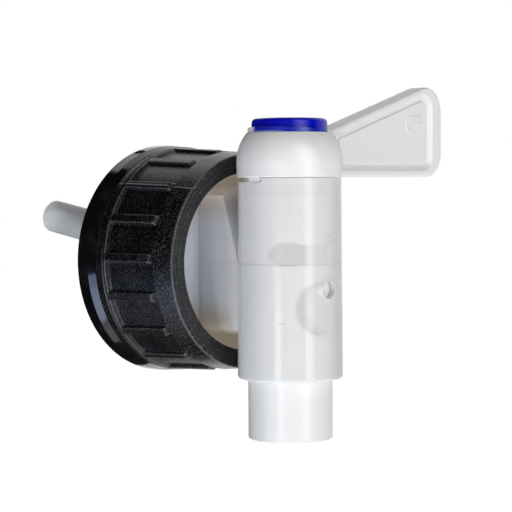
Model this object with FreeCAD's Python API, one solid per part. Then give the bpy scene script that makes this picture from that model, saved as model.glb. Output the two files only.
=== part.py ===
import FreeCAD, Part
import math
import os
from FreeCAD import Vector

# Dosing tap for a screw-neck container, in millimetres.
# The origin is the centre of the sealing plane, where the container's neck meets the gasket.
# +Y runs along the cap axis into the container, +Z is up, and the tap's barrel stands upright.
# Every height and distance below is measured in that frame, or from the barrel's own axis.

# Fits between the pieces
running_gap = 0.07          # radial play of the key in the barrel
seat_gap = 0.05             # play between flat faces that turn on each other
head_gap = 0.1              # the key's head turns this far above the barrel's rim
loose_gap = 0.3             # radial play of the screw cap round the collar
push_gap = 0.02             # radial play of a piece that is pushed in and stays
overrun = 1.0               # how far a cutting or joining form runs past its neighbour

# Barrel, which stands on its own vertical axis
barrel_bore = 12.9
barrel_wall = 1.8           # at the parting line
barrel_draft = 0.005        # growth of the radius per millimetre downwards
barrel_top = 23.9
barrel_bottom = -32.5
barrel_edge_round = 0.8
rim_recess_depth = 1.2      # the rim is lower here, to let the stop lug swing
snap_height = 18.4          # height of the key's retaining bead
snap_depth = 0.4
snap_width = 2.2

# Collar, the dished flange that the screw cap traps
collar_step = 0.15          # the rim's inner edge stands back from the edge of the cap's opening
collar_wall = 1.9
collar_dish = 7.8           # depth of the dish, from its rim to its floor
collar_floor = 2.4
collar_dish_round = 6.0
barrel_to_collar_floor = 26.8

# Duct between the barrel and the collar
duct_width = 19.0
duct_margin = 4.4           # room between the duct's round top and the collar's wall
duct_wall = 2.2
duct_face_foot_height = -1.0    # foot of the slanted front face
duct_face_foot_distance = 11.0
duct_face_head_distance = 17.7  # distance of the same face at the duct's top
liquid_port_radius = 5.2
liquid_port_height = -14.7
air_port_radius = 2.6
air_port_height = -0.4
vent_radius = 2.5
vent_height = -7.0
vent_angle = 269.5          # measured about the barrel axis, from +X towards +Y
vent_boss_edge = 0.15       # flat edge round the vent
vent_boss_height = 0.1
vent_boss_spread = 2.5      # the boss's foot is this much wider than its edge
vent_boss_depth = 1.0       # and lies this far inside the wall's outer face

# Air tube, pushed into a slanted socket behind the collar
tube_radius = 5.15
tube_wall = 1.0
tube_length = 74.5
tube_slope = 9.5            # degrees up from the cap axis
tube_end_gap = 0.15         # the tube's square end stands this far off the collar
socket_depth = 8.0
socket_wall = 1.7

# Gasket on the back of the collar
gasket_width = 5.0
gasket_thickness = 2.0
gasket_margin = 0.3

# Key: domed head, lever, hollow stem and spout in one piece
head_overhang = 0.3         # the head's radius over the barrel's
head_foot_taper = 0.15
head_skirt = 4.3            # height of the head's wall, up to the dome's rounding
head_crown_radius = 13.0    # radius of the dome's rounding
head_shelf_margin = 2.9     # the flat shelf's edge lies this far inside the head's wall
head_foot_round = 0.4
key_wall = 2.93
spout_step = 0.88           # the spout's wall lies this far inside the stem's
spout_wall = 1.75
spout_length = 17.0
spout_edge_round = 0.4
key_floor_height = -8.0
key_floor_thickness = 1.4
lip_margin = 0.35           # from the shelf's edge in to the lip round the plug
lip_height = 0.9            # mean height of that thin lip
lip_tilt = 3.3              # degrees, lower towards the lever

# Lever, which is a flat paddle with a shallow hollow on each face, and a low pad in the hollow
lever_thickness = 6.2
lever_reach = 66.4
lever_height = 9.1          # height of the top edge's line over the barrel axis, from the foot
lever_rise = 17.6           # degrees
lever_corner_radius = 7.4
lever_root_round = 1.35
lever_edge_round = 0.9
hollow_depth = 1.4
hollow_slope_width = 2.0
hollow_groove_width = 0.15  # flat bottom left between the hollow's slope and the pad
pad_height = 0.9
pad_edge_round = 0.35
pad_root_margin = 3.4       # from the head's wall
pad_end_margin = 6.6
pad_foot_margin = 3.8
pad_top_margin = 3.7
pad_corner_radius = 2.5

# Stop lug under the head, on the side away from the lever
lug_width = 4.2
lug_play = 0.12             # what is left below and beside the lug
key_turn = 90.0             # degrees from closed to open, clockwise from above

# Plug that closes the head
plug_ledge = 0.95           # how far the lid laps over the top of the key's wall
plug_taper = 0.25
plug_stands = 4.0           # height over the head's shelf
plug_seat_depth = 0.6
plug_edge_round = 1.1
plug_skirt_depth = 6.0
plug_skirt_wall = 1.3
plug_roof = 2.0

# Screw cap
cap_opening_radius = 25.57
cap_lip = 2.7
cap_brow = 0.7              # how far the outer front edge stands ahead of the opening
cap_front_round = 0.5
cap_shoulder_draft = 0.8    # growth of the shoulder's radius over its length
cap_shoulder_rise = 0.55    # the shoulder stands this far over the wall between the ribs
cap_shoulder_length = 7.2
cap_panel_wall = 2.2
cap_taper = 0.053           # growth of the ribbed wall's radius per millimetre
cap_panel_length = 16.9
cap_ring_wall = 4.1
cap_ring_length = 4.7
cap_bead_offset = 0.7
cap_bead_height = 0.25
cap_bead_width = 0.7
thread_step = 1.08          # the threaded bore is this much wider than the collar's pocket
rib_count = 18
rib_width = 2.6
rib_height = 1.05
rib_end_slope = 0.9
rib_start_angle = 2.9       # degrees from -X up to the middle of the first rib

# Tamper band behind the cap
band_gap = 0.25
band_length = 7.5
band_slope_length = 2.6     # from its front edge, flush with the cap's ring, the band slopes out
band_slope_rise = 0.75
band_flare = 0.15           # growth of its radius behind the slope
band_clearance = 1.0        # its bore is this much wider than the cap's
band_catch = 1.1            # inner bead that catches behind the container's thread
band_catch_slope = 1.65
band_round = 1.2
bridge_count = 8
bridge_width = 1.6
bridge_thickness = 1.0

# Values that follow from those above
barrel_y = -(barrel_to_collar_floor + collar_floor + gasket_thickness)
collar_floor_y = barrel_y + barrel_to_collar_floor
collar_rear_y = collar_floor_y + collar_floor
collar_rim_y = collar_floor_y - collar_dish
collar_inner_radius = cap_opening_radius + collar_step
collar_radius = collar_inner_radius + collar_wall
duct_radius = collar_inner_radius - duct_margin
barrel_radius = barrel_bore + barrel_wall
stem_radius = barrel_bore - running_gap
key_bore = stem_radius - key_wall
spout_radius = stem_radius - spout_step
spout_bore = spout_radius - spout_wall
spout_bottom = barrel_bottom - spout_length
head_bottom = barrel_top + head_gap
head_radius = barrel_radius + head_overhang
head_shelf_radius = head_radius - head_shelf_margin
head_crown_height = head_bottom + head_skirt
plug_radius = key_bore + plug_ledge
cap_opening_y = collar_rim_y - seat_gap - cap_lip
cap_shoulder_y = cap_opening_y + cap_shoulder_length
cap_pocket_radius = collar_radius + loose_gap
thread_bore = cap_pocket_radius + thread_step
cap_shoulder_radius = thread_bore + cap_panel_wall + cap_shoulder_rise
cap_ring_radius = thread_bore + cap_ring_wall
cap_end_y = cap_shoulder_y + cap_panel_length + cap_ring_length
band_inner_radius = thread_bore + band_clearance
up = Vector(0, 0, 1)
back = Vector(0, 1, 0)
origin = Vector(0, 0, 0)
barrel_axis = Vector(0, barrel_y, 0)


def save(shape, node):
    """Write one sub-part as a STEP file named after its node."""
    if not shape.isValid():
        print("not valid:", node)
    print(node, "solids", len(shape.Solids), "volume", round(shape.Volume, 1))
    shape.exportStep("parts/" + node + ".step")


def upright(radius, height):
    """A point of a half section beside the barrel's axis."""
    return Vector(radius, barrel_y, height)


def endways(radius, distance):
    """A point of a half section beside the cap axis."""
    return Vector(radius, distance, 0)


def sideways(distance, height):
    """A point in the upright plane of the cap axis, its distance taken from the barrel's axis."""
    return Vector(0, barrel_y + distance, height)


def outline(steps, place):
    """A closed wire: each step is a point, or a middle point and an end point of an arc."""
    edges = []
    first = place(*steps[0])
    last = first
    for step in steps[1:]:
        end = place(*step[-2:])
        if len(step) == 4:
            edges.append(Part.Arc(last, place(*step[:2]), end).toShape())
        else:
            edges.append(Part.LineSegment(last, end).toShape())
        last = end
    edges.append(Part.LineSegment(last, first).toShape())
    return Part.Wire(edges)


def arc_to(centre, radius, angle, end_angle):
    """The step of an arc about a centre: its middle point and its end point."""
    middle = math.radians((angle + end_angle) / 2)
    end = math.radians(end_angle)
    return (centre[0] + radius * math.cos(middle), centre[1] + radius * math.sin(middle),
            centre[0] + radius * math.cos(end), centre[1] + radius * math.sin(end))


def turned(steps, place, direction):
    """A half section turned right round the barrel's axis or the cap axis."""
    centre = barrel_axis if direction == up else origin
    return Part.Face(outline(steps, place)).revolve(centre, direction, 360)


def rounded(corners, place):
    """A closed wire through corners given as a, b and a radius, each rounded by a tangent arc."""
    starts, arcs = [], []
    for i, (a, b, radius) in enumerate(corners):
        here = Vector(a, b, 0)
        before = (Vector(*corners[i - 1][:2], 0) - here).normalize()
        after = (Vector(*corners[(i + 1) % len(corners)][:2], 0) - here).normalize()
        half = before.getAngle(after) / 2
        inwards = (before + after).normalize()
        tangent = radius / math.tan(half)
        start = here + before * tangent
        end = here + after * tangent
        middle = here + inwards * (radius / math.sin(half) - radius)
        starts.append((start, end))
        arcs.append(Part.Arc(place(start.x, start.y), place(middle.x, middle.y), place(end.x, end.y)))
    edges = []
    for i, arc in enumerate(arcs):
        end = starts[i][1]
        following = starts[(i + 1) % len(starts)][0]
        edges.append(arc.toShape())
        edges.append(Part.LineSegment(place(end.x, end.y), place(following.x, following.y)).toShape())
    return Part.Wire(edges)


def sector(radius, bottom, top, start, end):
    """A slice of a disc about the barrel's axis, between two angles measured from +X."""
    slice_ = Part.makeCylinder(radius, top - bottom, Vector(0, barrel_y, bottom), up, end - start)
    return slice_.rotate(barrel_axis, up, start)


def radial_rod(radius, height, angle, start, end, end_radius=None):
    """A rod, or a cone, that points away from the barrel's axis, between two distances from it."""
    direction = Vector(math.cos(math.radians(angle)), math.sin(math.radians(angle)), 0)
    centre = Vector(0, barrel_y, height) + direction * start
    if end_radius is None:
        return Part.makeCylinder(radius, end - start, centre, direction)
    return Part.makeCone(radius, end_radius, end - start, centre, direction)


def barrel_radius_at(height):
    """The barrel's outer radius at a height, with its draft."""
    return barrel_radius - barrel_draft * height


def make_barrel():
    """The upright barrel, still solid, with its slight draft."""
    edge = barrel_edge_round
    foot = barrel_radius_at(barrel_bottom)
    centre = (foot - edge, barrel_bottom + edge)
    return turned([(0, barrel_bottom), (foot - edge, barrel_bottom), arc_to(centre, edge, -90, 0),
                   (barrel_radius_at(barrel_top), barrel_top), (0, barrel_top)], upright, up)


def make_collar():
    """The dished flange: a flat floor, a rounded wall and a rim behind the cap's lip."""
    bend = collar_dish_round
    centre = (collar_inner_radius - bend, collar_floor_y - bend)
    return turned([(0, collar_floor_y), (centre[0], collar_floor_y), arc_to(centre, bend, 90, 0),
                   (collar_inner_radius, collar_rim_y), (collar_radius, collar_rim_y),
                   (collar_radius, collar_rear_y), (0, collar_rear_y)], endways, back)


def duct_face_distance(height):
    """How far the duct's slanted front face stands behind the barrel's axis at a height."""
    share = (height - duct_face_foot_height) / (duct_radius - duct_face_foot_height)
    return duct_face_foot_distance + share * (duct_face_head_distance - duct_face_foot_distance)


def duct_form(wall, bottom, front):
    """The duct's form, drawn in by a wall all round: flat sides, round top and slanted face."""
    lean = math.atan2(duct_face_head_distance - duct_face_foot_distance,
                      duct_radius - duct_face_foot_height)
    shift = wall / math.cos(lean)
    rear = barrel_to_collar_floor + collar_floor
    top = duct_radius + duct_wall
    foot = max(bottom, duct_face_foot_height)
    corners = [(front, bottom), (rear, bottom), (rear, top), (duct_face_distance(top) + shift, top),
               (duct_face_distance(foot) + shift, foot)]
    if bottom < foot:
        corners.append((front, foot))
    else:
        corners[0] = corners.pop()
    half = duct_width / 2 - wall
    wire = Part.makePolygon([sideways(*corner) for corner in corners + corners[:1]])
    block = Part.Face(wire).extrude(Vector(2 * half, 0, 0)).translate(Vector(-half, 0, 0))
    round_limit = Part.makeCylinder(duct_radius - wall, -barrel_y, Vector(0, barrel_y, 0), back)
    return block.common(round_limit)


def tube_direction():
    """The way the air tube points, from the collar into the container."""
    slope = math.radians(tube_slope)
    return Vector(0, math.cos(slope), math.sin(slope))


def tube_rod(radius, start, end):
    """A rod on the air tube's axis, between two distances from the collar's back."""
    centre = Vector(0, collar_rear_y, air_port_height) + tube_direction() * start
    return Part.makeCylinder(radius, end - start, centre, tube_direction())


def make_vent_boss():
    """The low boss that gives the vent a flat edge on the barrel's curved wall."""
    face = barrel_radius_at(vent_height)
    edge = vent_radius + vent_boss_edge
    return radial_rod(edge + vent_boss_spread, vent_height, vent_angle, face - vent_boss_depth,
                      face + vent_boss_height, edge)


def lug_half_angle():
    """Half the angle that the stop lug takes up at the bore, with its play."""
    return math.degrees(math.asin((lug_width / 2 + lug_play) / barrel_bore))


def make_valve_body():
    """Barrel, duct, collar and tube socket in one moulding, with the passages between them."""
    shape = make_barrel()
    shape = shape.fuse([duct_form(0, -duct_radius, 0), make_collar(),
                        tube_rod(tube_radius + socket_wall, -collar_floor / 2, socket_depth),
                        make_vent_boss()])
    groove = snap_depth + barrel_bore
    half = snap_width / 2 + running_gap
    slope_end = half - snap_depth
    bore = turned([(0, barrel_bottom - overrun), (barrel_bore, barrel_bottom - overrun),
                   (barrel_bore, snap_height - half), (groove, snap_height - slope_end),
                   (groove, snap_height + slope_end), (barrel_bore, snap_height + half),
                   (barrel_bore, barrel_top + overrun), (0, barrel_top + overrun)], upright, up)
    swing = sector(barrel_radius + overrun, barrel_top - rim_recess_depth, barrel_top + overrun,
                   180 - key_turn - lug_half_angle(), 180 + lug_half_angle())
    pocket_bottom = air_port_height + tube_radius + socket_wall + duct_wall
    rear = barrel_to_collar_floor + collar_floor + overrun
    cuts = [bore, swing, duct_form(duct_wall, pocket_bottom, 0),
            radial_rod(liquid_port_radius, liquid_port_height, 90, 0, rear),
            radial_rod(air_port_radius, air_port_height, 90, 0, rear),
            tube_rod(tube_radius + push_gap, seat_distance(), socket_depth + overrun),
            radial_rod(vent_radius, vent_height, vent_angle, 0, barrel_radius + overrun)]
    return shape.cut(cuts).removeSplitter()


def seat_distance():
    """Where the air tube's square end stands clear of the collar's back."""
    return tube_radius * math.tan(math.radians(tube_slope)) + tube_end_gap


def make_air_tube():
    """The vent pipe that carries air up above the liquid."""
    start = seat_distance()
    end = start + tube_length
    bore = tube_rod(tube_radius - tube_wall, start - overrun, end + overrun)
    return tube_rod(tube_radius, start, end).cut(bore)


def make_gasket():
    """The flat ring between the collar and the container's neck."""
    radius = collar_radius - gasket_margin
    start = Vector(0, collar_rear_y, 0)
    hole = Part.makeCylinder(radius - gasket_width, gasket_thickness, start, back)
    return Part.makeCylinder(radius, gasket_thickness, start, back).cut(hole)


def shelf_height():
    """Height of the head's flat shelf, where the dome's rounding ends."""
    reach = head_shelf_radius - (head_radius - head_crown_radius)
    return head_crown_height + math.sqrt(head_crown_radius ** 2 - reach ** 2)


def make_head_and_stem():
    """The dome, the stem with its snap bead and the spout, turned as one solid."""
    crown_centre = (head_radius - head_crown_radius, head_crown_height)
    shelf = shelf_height()
    shelf_angle = math.degrees(math.asin((shelf - head_crown_height) / head_crown_radius))
    foot = head_foot_round
    foot_radius = head_radius - head_foot_taper - foot
    bead = stem_radius + snap_depth
    half = snap_width / 2
    edge = spout_edge_round
    edge_centre = (spout_radius - edge, spout_bottom + edge)
    lip_radius = head_shelf_radius - lip_margin
    lip_top = shelf + lip_height + lip_radius * math.tan(math.radians(lip_tilt))
    return turned([(0, spout_bottom), (spout_radius - edge, spout_bottom),
                   arc_to(edge_centre, edge, -90, 0), (spout_radius, barrel_bottom),
                   (stem_radius, barrel_bottom), (stem_radius, snap_height - half),
                   (bead, snap_height - half + snap_depth), (bead, snap_height + half - snap_depth),
                   (stem_radius, snap_height + half), (stem_radius, head_bottom),
                   (foot_radius, head_bottom), arc_to((foot_radius, head_bottom + foot), foot, -90, 0),
                   (head_radius, head_crown_height),
                   arc_to(crown_centre, head_crown_radius, 0, shelf_angle),
                   (lip_radius, shelf), (lip_radius, lip_top), (0, lip_top)], upright, up)


def lever_top(distance):
    """Height of the paddle's rising top edge, at a distance from the barrel's axis."""
    return head_bottom + lever_height + distance * math.tan(math.radians(lever_rise))


def lever_corners():
    """The paddle's outline: a root inside the head, a rising top edge and two round corners."""
    root = key_bore + overrun
    return [(root, head_bottom, lever_root_round), (lever_reach, head_bottom, lever_corner_radius),
            (lever_reach, lever_top(lever_reach), lever_corner_radius),
            (root, lever_top(root), lever_root_round)]


def pad_corners(inset):
    """The pad's outline, set in from the paddle's own edges by its margins and by an inset."""
    drop = (pad_top_margin + inset) / math.cos(math.radians(lever_rise))
    start = head_radius + pad_root_margin + inset
    end = lever_reach - pad_end_margin - inset
    foot = head_bottom + pad_foot_margin + inset
    radius = pad_corner_radius - inset
    return [(start, foot, radius), (end, foot, radius),
            (end, lever_top(end) - drop, radius), (start, lever_top(start) - drop, radius)]


def lever_plane(distance):
    """The upright plane of the paddle, moved by a distance towards the container."""
    return lambda a, b: Vector(a, barrel_y + distance, b)


def flat_edges(shape, distance):
    """The edges of a shape that lie in one plane of the paddle."""
    return [edge for edge in shape.Edges
            if edge.BoundBox.YLength < 1e-6 and abs(edge.BoundBox.YMin - barrel_y - distance) < 1e-6]


def make_pad(side):
    """The low pad in a face's hollow, with its upper edge rounded. Side is -1 or 1."""
    bottom = side * (lever_thickness / 2 - hollow_depth)
    top = bottom + side * pad_height
    pad = Part.Face(rounded(pad_corners(hollow_groove_width), lever_plane(bottom)))
    pad = pad.extrude(back * (top - bottom))
    return pad.makeFillet(pad_edge_round, flat_edges(pad, top))


def make_lever():
    """The flat paddle with rounded edges. A sloping cut leaves a hollow round a pad on each face."""
    half = lever_thickness / 2
    plate = Part.Face(rounded(lever_corners(), lever_plane(-half))).extrude(back * lever_thickness)
    plate = plate.makeFillet(lever_edge_round, flat_edges(plate, -half) + flat_edges(plate, half))
    for side in (-1, 1):
        rim = rounded(pad_corners(-hollow_slope_width), lever_plane(side * half))
        floor = rounded(pad_corners(0), lever_plane(side * (half - hollow_depth)))
        plate = plate.cut(Part.makeLoft([rim, floor], True, True).cut(make_pad(side)))
    return plate


def make_lug():
    """The stop lug that hangs from the head into the lowered part of the barrel's rim."""
    bottom = barrel_top - rim_recess_depth + lug_play
    top = head_bottom + overrun
    half_disc = sector(barrel_radius_at(barrel_top), bottom, top, 90, 270)
    block = Part.makeBox(head_radius, lug_width, top - bottom,
                         Vector(-head_radius, barrel_y - lug_width / 2, bottom))
    return half_disc.common(block)


def make_valve_key():
    """Head, lever, stem and spout in one moulding, hollow, with its ports."""
    shape = make_head_and_stem().fuse([make_lever(), make_lug()])
    shelf = shelf_height()
    seat = shelf - plug_seat_depth
    floor_bottom = key_floor_height - key_floor_thickness
    top = shelf + plug_stands
    room = turned([(0, key_floor_height), (key_bore, key_floor_height), (key_bore, seat),
                   (plug_radius + push_gap, seat), (plug_radius + push_gap, top), (0, top)],
                  upright, up)
    outlet = Part.makeCylinder(spout_bore, floor_bottom - spout_bottom + overrun,
                               Vector(0, barrel_y, spout_bottom - overrun), up)
    lip_centre = Vector(0, barrel_y, shelf + lip_height)
    above_lip = Part.makeBox(2 * head_radius, 2 * head_radius, plug_stands,
                             lip_centre - Vector(head_radius, head_radius, 0))
    above_lip.rotate(lip_centre, back, lip_tilt)
    near_lip = Part.makeCylinder(head_shelf_radius, plug_stands, Vector(0, barrel_y, shelf), up)
    ports = [radial_rod(liquid_port_radius, liquid_port_height, 90 + key_turn, 0, barrel_bore),
             radial_rod(air_port_radius, air_port_height, 90 + key_turn, 0, barrel_bore),
             radial_rod(vent_radius, vent_height, vent_angle + key_turn, 0, barrel_bore)]
    return shape.cut([room, outlet, above_lip.common(near_lip)] + ports).removeSplitter()


def make_key_plug():
    """The plug pressed into the head: a round lid with a skirt."""
    shelf = shelf_height()
    seat = shelf - plug_seat_depth
    top = shelf + plug_stands
    bend = plug_edge_round
    rim = plug_radius - plug_taper
    skirt = key_bore - push_gap
    skirt_bottom = seat - plug_skirt_depth
    return turned([(0, top), (rim - bend, top), arc_to((rim - bend, top - bend), bend, 90, 0),
                   (plug_radius, seat), (skirt, seat), (skirt, skirt_bottom),
                   (skirt - plug_skirt_wall, skirt_bottom), (skirt - plug_skirt_wall, top - plug_roof),
                   (0, top - plug_roof)], upright, up)


def panel_radius(distance):
    """Radius of the wall between the ribs, at a distance behind the shoulder."""
    return thread_bore + cap_panel_wall + cap_taper * distance


def make_rib():
    """One grip rib, on the side of the cap that faces -X."""
    start = cap_shoulder_y
    end = start + cap_panel_length + rib_height
    front = panel_radius(0) + rib_height
    rear = panel_radius(cap_panel_length) + rib_height
    root = thread_bore + overrun
    side = [Vector(-root, start, 0), Vector(-front + rib_end_slope, start, 0),
            Vector(-front, start + rib_end_slope, 0), Vector(-rear, end, 0), Vector(-root, end, 0)]
    face = Part.Face(Part.makePolygon(side + side[:1]))
    return face.extrude(Vector(0, 0, rib_width)).translate(Vector(0, 0, -rib_width / 2))


def make_screw_cap():
    """The screw cap: a lip round the opening, a tapered shoulder, grip ribs and a rear ring."""
    brow = cap_opening_y - cap_brow
    bend = cap_front_round
    edge = cap_shoulder_radius - cap_shoulder_draft - bend
    lip_end = cap_opening_y + cap_lip
    panel_end = cap_shoulder_y + cap_panel_length
    ring_start = panel_end + cap_ring_radius - panel_radius(cap_panel_length)
    bead = ring_start + cap_bead_offset
    steps = [(cap_opening_radius, cap_opening_y), (edge, brow),
             arc_to((edge, brow + bend), bend, -90, 0),
             (cap_shoulder_radius, cap_shoulder_y - cap_shoulder_rise),
             (panel_radius(0), cap_shoulder_y),
             (panel_radius(cap_panel_length), panel_end), (cap_ring_radius, ring_start),
             (cap_ring_radius, bead), (cap_ring_radius + cap_bead_height, bead + cap_bead_width / 2),
             (cap_ring_radius, bead + cap_bead_width), (cap_ring_radius, cap_end_y),
             (thread_bore, cap_end_y), (thread_bore, 0), (cap_pocket_radius, 0),
             (cap_pocket_radius, lip_end), (cap_opening_radius, lip_end)]
    shape = turned(steps, endways, back)
    ribs = []
    for i in range(rib_count):
        rib = make_rib()
        rib.rotate(origin, back, rib_start_angle + i * 360 / rib_count)
        ribs.append(rib)
    return shape.fuse(ribs).removeSplitter()


def make_tamper_band():
    """The smooth band behind the cap, held to it by thin bridges until the first opening."""
    front = cap_end_y + band_gap
    rear = front + band_length
    slope_radius = cap_ring_radius + band_slope_rise
    rear_radius = slope_radius + band_flare
    bend = band_round
    ring = turned([(band_inner_radius, front), (cap_ring_radius, front),
                   (slope_radius, front + band_slope_length), (rear_radius, rear - bend),
                   arc_to((rear_radius - bend, rear - bend), bend, 0, 90),
                   (band_inner_radius, rear), (band_inner_radius - band_catch, rear - band_catch),
                   (band_inner_radius, rear - band_catch - band_catch_slope)], endways, back)
    inner_face = (band_inner_radius + cap_ring_radius - bridge_thickness) / 2
    bridges = []
    for i in range(bridge_count):
        bridge = Part.makeBox(bridge_thickness, band_gap + overrun, bridge_width,
                              Vector(inner_face, cap_end_y, -bridge_width / 2))
        bridge.rotate(origin, back, (i + 0.5) * 360 / bridge_count)
        bridges.append(bridge)
    return ring.fuse(bridges).removeSplitter()


os.makedirs("parts", exist_ok=True)
save(make_valve_body(), "valve_body")
save(make_valve_key(), "valve_key")
save(make_key_plug(), "key_plug")
save(make_air_tube(), "air_tube")
save(make_gasket(), "neck_gasket")
save(make_screw_cap(), "screw_cap")
save(make_tamper_band(), "tamper_band")
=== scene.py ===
# %% [markdown]
# # A dosing tap, dressed for its photograph
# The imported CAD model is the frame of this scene. It is in metres: the origin is the centre of the
# plane where the container's neck meets the gasket, +Y runs into the container and +Z is up.
# Each moulding keeps its solid where that has the right shape, and gets a finish. Pieces that need
# rounder edges, a thread or a thin film are worked out here as surfaces.

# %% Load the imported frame
import math
import bpy
import numpy as np
from mathutils import Matrix, Vector


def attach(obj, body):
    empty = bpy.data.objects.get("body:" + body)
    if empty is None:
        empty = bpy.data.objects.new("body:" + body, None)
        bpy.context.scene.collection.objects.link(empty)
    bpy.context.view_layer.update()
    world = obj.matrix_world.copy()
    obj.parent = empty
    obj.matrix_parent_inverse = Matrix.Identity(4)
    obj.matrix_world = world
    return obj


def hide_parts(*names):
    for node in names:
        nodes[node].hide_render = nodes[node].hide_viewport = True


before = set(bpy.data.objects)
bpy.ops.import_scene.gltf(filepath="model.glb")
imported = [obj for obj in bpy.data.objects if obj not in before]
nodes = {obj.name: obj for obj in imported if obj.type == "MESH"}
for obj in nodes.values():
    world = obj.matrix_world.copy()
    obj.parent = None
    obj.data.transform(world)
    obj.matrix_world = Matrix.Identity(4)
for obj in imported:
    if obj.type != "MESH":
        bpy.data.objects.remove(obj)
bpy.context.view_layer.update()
MM = 0.001
print("nodes:", sorted(nodes))

# %% [markdown]
# ## Camera
# The photograph was taken a little above the cap axis, from in front and to the left. A long lens
# keeps the barrel's sides nearly parallel. A camera could be turned by hand until it fits, but its
# place, heading, elevation and roll were worked out from points that are known on the tap, so they
# are set as numbers, and its matrix is built from three directions.

# %% Camera
def add_object(name, data):
    """An object at the origin for a mesh, a lamp or a camera, linked into the scene."""
    made = bpy.data.objects.new(name, data)
    bpy.context.scene.collection.objects.link(made)
    return made


camera_place = Vector((-335.24, -338.51, 22.24)) * MM
heading, elevation, roll = (math.radians(v) for v in (46.284, -2.557, -0.299))
look = Vector((math.sin(heading) * math.cos(elevation), math.cos(heading) * math.cos(elevation),
               math.sin(elevation)))
level_right = look.cross(Vector((0, 0, 1))).normalized()
level_up = level_right.cross(look)
right = level_right * math.cos(roll) + level_up * math.sin(roll)
above = level_up * math.cos(roll) - level_right * math.sin(roll)

camera_data = bpy.data.cameras.new("photo_camera")
camera_data.lens = 113.512
camera_data.sensor_width = 36.0
camera_data.clip_start = 0.01
camera = add_object("photo_camera", camera_data)
turned_to_view = Matrix((right, above, -look)).transposed().to_4x4()
camera.matrix_world = Matrix.Translation(camera_place) @ turned_to_view
bpy.context.scene.camera = camera
print("camera looks along", [round(v, 4) for v in look])

# %% [markdown]
# ## Small helpers for node trees
# A material is a graph. A few short functions keep the lines below readable: they add a node with
# its settings and inputs, do a sum, or blend two colours. An input can be a number or the output of
# another node, and the helpers join or set it accordingly.

# %% Node helpers
def feed(tree, value, socket):
    """Give a socket its value, or join it to the output that makes the value."""
    if isinstance(value, bpy.types.NodeSocket):
        tree.links.new(value, socket)
    else:
        socket.default_value = value


def add(tree, kind, inputs=None, **settings):
    """A new node of a kind, with its settings. Inputs maps a socket's name or number to its value."""
    made = tree.nodes.new(kind)
    for name, value in settings.items():
        setattr(made, name, value)
    for label, value in (inputs or {}).items():
        feed(tree, value, made.inputs[label])
    return made


def maths(tree, operation, first, second=None, third=None, clamp=False):
    """The result of a Math node. Each input is a number or another node's output."""
    values = {i: value for i, value in enumerate((first, second, third)) if value is not None}
    return add(tree, "ShaderNodeMath", values, operation=operation, use_clamp=clamp).outputs[0]


def ranged(tree, value, low, high, start=0.0, stop=1.0, kind="SMOOTHSTEP"):
    """A step from start, where value is low or less, to stop, where it is high or more."""
    inputs = {"Value": value, "From Min": low, "From Max": high, "To Min": start, "To Max": stop}
    return add(tree, "ShaderNodeMapRange", inputs, interpolation_type=kind).outputs["Result"]


def distance(tree, first, second):
    """The root of first squared plus second squared."""
    square = maths(tree, "MULTIPLY_ADD", first, first, maths(tree, "MULTIPLY", second, second))
    return maths(tree, "SQRT", square)


def split(tree, vector):
    """The X, Y and Z of a vector."""
    return add(tree, "ShaderNodeSeparateXYZ", {"Vector": vector}).outputs


def noise(tree, vector, scale, detail=2.0, distortion=0.0, dimensions="3D"):
    """A noise from 0 to 1 that is mostly near 0.5."""
    inputs = {"Vector": vector, "Scale": scale, "Detail": detail, "Distortion": distortion}
    return add(tree, "ShaderNodeTexNoise", inputs, noise_dimensions=dimensions).outputs["Fac"]


def blend(tree, factor, colour, tone, *more):
    """A colour that goes towards a tone by a factor. More pairs of factor and tone may follow."""
    colour = (*colour, 1)
    for mask, target in ((factor, tone), *more):
        inputs = {"Factor": mask, "A": colour, "B": (*target, 1)}
        colour = add(tree, "ShaderNodeMix", inputs, data_type="RGBA").outputs["Result"]
    return colour


# %% Group helpers
def group(name, output, **numbers):
    """A node group from a Vector and some numbers to one number, with its two ends."""
    tree = bpy.data.node_groups.new(name, "ShaderNodeTree")
    sockets = tree.interface
    sockets.new_socket("Vector", in_out="INPUT", socket_type="NodeSocketVector")
    for label, value in numbers.items():
        socket = sockets.new_socket(label.replace("_", " "), in_out="INPUT", socket_type="NodeSocketFloat")
        socket.default_value = value
    sockets.new_socket(output, in_out="OUTPUT", socket_type="NodeSocketFloat")
    return tree, add(tree, "NodeGroupInput").outputs, add(tree, "NodeGroupOutput").inputs[output]


def shared_effect(made):
    """A function that puts a finished group into another tree. It takes that tree and then the
    group's inputs in their order, and gives the group's result."""
    def put_into(tree, *values):
        return add(tree, "ShaderNodeGroup", dict(enumerate(values)), node_tree=made).outputs[0]
    print("group:", made.name, [socket.name for socket in made.interface.items_tree])
    return put_into


# %% [markdown]
# ## Shared effects
# Moulded plastic is never quite even. A mould that was spark-eroded leaves a fine pebbled grain, a
# polished one leaves slow waves in the gloss, and handling adds scratches and specks of dirt. More
# than one plastic here shows each of these, so each is a group that is built once. All sizes go in
# as millimetres, because that is how one reads them off the real surface.

# %% Fine grain
def rate(tree, size):
    """Cells per metre, from a size in millimetres."""
    return maths(tree, "DIVIDE", 1 / MM, size)


def make_grain():
    """Height = noise whose cells are Size across, made rounder by a second noise twice as fine."""
    tree, start, end = group("mould_grain", "Height", Size=0.3)
    scale = rate(tree, start["Size"])
    coarse, fine = (noise(tree, start["Vector"], cells, 1.0)
                    for cells in (scale, maths(tree, "MULTIPLY", scale, 2.3)))
    feed(tree, maths(tree, "MULTIPLY_ADD", coarse, 0.55, maths(tree, "MULTIPLY", fine, 0.45)), end)
    return shared_effect(tree)


grain = make_grain()

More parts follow.
